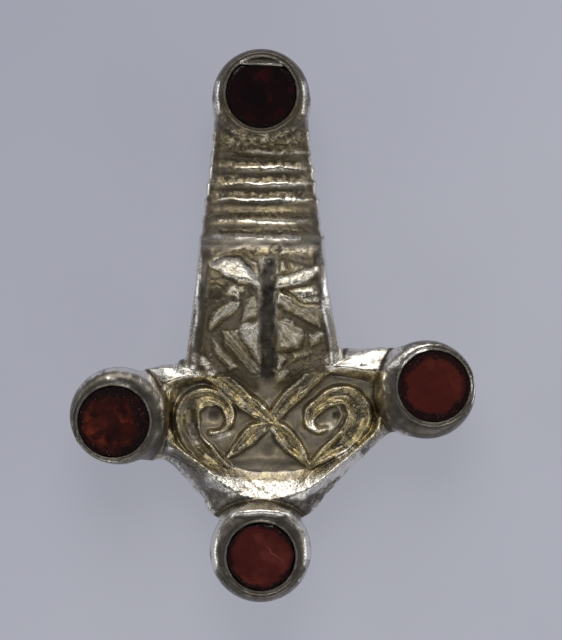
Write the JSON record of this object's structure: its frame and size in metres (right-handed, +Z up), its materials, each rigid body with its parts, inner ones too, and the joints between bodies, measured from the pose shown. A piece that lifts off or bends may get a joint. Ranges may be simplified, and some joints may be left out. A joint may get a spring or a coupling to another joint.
{
  "type": "bow brooch",
  "caption": "Small bow brooch with a scrolled head plate, an arched leaf-carved bow and a ribbed foot, set with round garnets, with a pin and a catch at the back.",
  "frame": {"origin": "on the surface that the brooch lies on, under the middle of its outline", "axes": "+X across the brooch, to the right in the picture; +Y from the head plate to the foot; +Z up out of the brooch's face"},
  "size_m": [0.0404, 0.055, 0.0122],
  "materials": {
    "silver_gilt": "worn cast silver with gilding left in the sunk parts",
    "garnet": "polished, dark red",
    "pin_iron": "dull, dark"
  },
  "bodies": {
    "root": {"brooch_body": "silver_gilt", "garnet_foot": "garnet", "garnet_left": "garnet", "garnet_right": "garnet", "garnet_head": "garnet", "pin": "pin_iron"}
  },
  "joints": []
}
